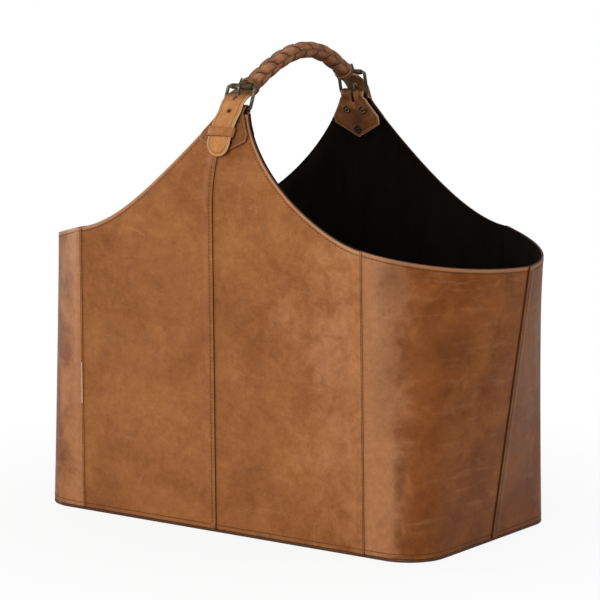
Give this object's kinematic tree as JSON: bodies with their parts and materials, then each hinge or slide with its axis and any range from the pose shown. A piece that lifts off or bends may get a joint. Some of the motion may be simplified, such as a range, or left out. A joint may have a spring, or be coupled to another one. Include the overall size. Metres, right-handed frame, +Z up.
{
  "type": "leather magazine basket",
  "caption": "Open oblong leather basket with round flared ends and two tall peaks, joined by a braided handle that is buckled to each peak.",
  "frame": {"origin": "middle of the flat underside, on the floor", "axes": "+X along the basket to its right end, -Y to its front (the side nearest the camera), +Z up"},
  "size_m": [0.517, 0.2434, 0.4455],
  "materials": {
    "body_leather": "tan pull-up leather, mottled, satin",
    "end_leather": "darker brown leather, satin, burnished edges",
    "strap_leather": "light natural tan bridle leather, creased edge lines",
    "braid_leather": "plaited brown laces, waxed",
    "core_leather": "rolled leather core, unfinished",
    "lining": "near-black suede-like nap",
    "board": "bonded leather fibre board, plain",
    "buckle_metal": "dark antique brass, brushed on the high spots",
    "rivet_metal": "antique brass, greenish brown patina"
  },
  "bodies": {
    "basket": {"base_leather": "end_leather", "base_board": "board", "base_lining": "lining", "front_left_panel": "body_leather", "left_end_front_panel": "end_leather", "front_right_panel": "body_leather", "right_end_front_panel": "end_leather", "front_board": "board", "front_lining": "lining", "front_chape": "body_leather", "front_keeper": "body_leather", "front_left_rivet": "rivet_metal", "front_right_rivet": "rivet_metal", "front_lower_rivet": "rivet_metal", "front_strap": "strap_leather", "front_collar": "braid_leather", "back_left_panel": "body_leather", "left_end_back_panel": "end_leather", "back_right_panel": "body_leather", "right_end_back_panel": "end_leather", "back_board": "board", "back_lining": "lining", "back_chape": "body_leather", "back_keeper": "body_leather", "back_left_rivet": "rivet_metal", "back_right_rivet": "rivet_metal", "back_lower_rivet": "rivet_metal", "back_strap": "strap_leather", "back_collar": "braid_leather", "left_end_board": "board", "left_end_lining": "lining", "right_end_board": "board", "right_end_lining": "lining", "handle_braid": "braid_leather", "handle_core": "core_leather"},
    "front_frame": {"front_buckle_frame": "buckle_metal"},
    "front_prong": {"front_prong": "buckle_metal"},
    "front_roller": {"front_roller": "buckle_metal"},
    "back_frame": {"back_buckle_frame": "buckle_metal"},
    "back_prong": {"back_prong": "buckle_metal"},
    "back_roller": {"back_roller": "buckle_metal"}
  },
  "joints": [
    {"name": "front_frame_tilt", "type": "hinge", "parent": "basket", "child": "front_frame", "pos_m": [0, -0.08818, 0.38816], "axis": [1, 0, 0], "range_deg": [0, 10]},
    {"name": "front_prong_lift", "type": "hinge", "parent": "front_frame", "child": "front_prong", "pos_m": [0, -0.08818, 0.38816], "axis": [1, 0, 0], "range_deg": [0, 14]},
    {"name": "front_roller_spin", "type": "hinge", "parent": "front_frame", "child": "front_roller", "pos_m": [0, -0.0802, 0.40791], "axis": [1, 0, 0], "continuous": true},
    {"name": "back_frame_tilt", "type": "hinge", "parent": "basket", "child": "back_frame", "pos_m": [0, 0.09972, 0.39287], "axis": [-1, 0, 0], "range_deg": [0, 10]},
    {"name": "back_prong_lift", "type": "hinge", "parent": "back_frame", "child": "back_prong", "pos_m": [0, 0.09972, 0.39287], "axis": [-1, 0, 0], "range_deg": [0, 14]},
    {"name": "back_roller_spin", "type": "hinge", "parent": "back_frame", "child": "back_roller", "pos_m": [0, 0.0942, 0.41345], "axis": [-1, 0, 0], "continuous": true}
  ]
}
